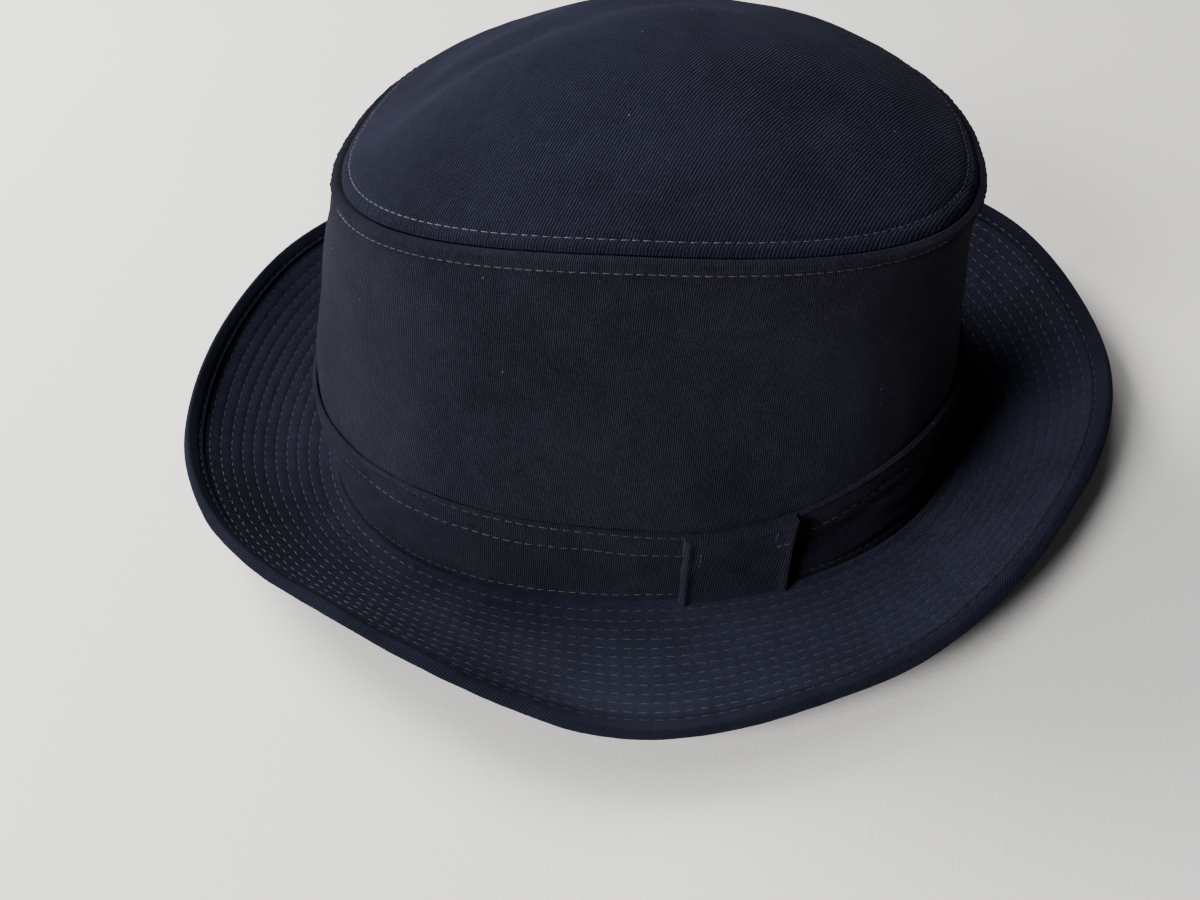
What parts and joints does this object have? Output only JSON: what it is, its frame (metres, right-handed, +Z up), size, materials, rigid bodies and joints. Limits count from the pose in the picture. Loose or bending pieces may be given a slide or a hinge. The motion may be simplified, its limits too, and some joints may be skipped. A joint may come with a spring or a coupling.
{
  "type": "sewn cloth fedora",
  "caption": "Soft sewn twill hat with a round domed crown, a cloth band with a side tab, and a quilted brim turned up at the sides with a bound edge.",
  "frame": {"origin": "middle of the hat's outline seen from above, at the height of the surface that it lies on", "axes": "+X towards the back of the hat, -Y towards the side with the tab, +Z up through the crown"},
  "size_m": [0.2974, 0.2594, 0.1333],
  "materials": {
    "crown_cloth": "dark navy cotton twill, matt with a faint sheen",
    "band_cloth": "dark navy cotton twill band, stitched along both edges",
    "brim_cloth": "dark navy cotton twill, quilted in close rings of stitches",
    "binding_cloth": "dark navy bias-cut twill binding"
  },
  "bodies": {
    "root": {"crown_side": "crown_cloth", "crown_tip": "crown_cloth", "hat_band": "band_cloth", "band_tab": "band_cloth", "brim": "brim_cloth", "brim_binding": "binding_cloth"}
  },
  "joints": []
}
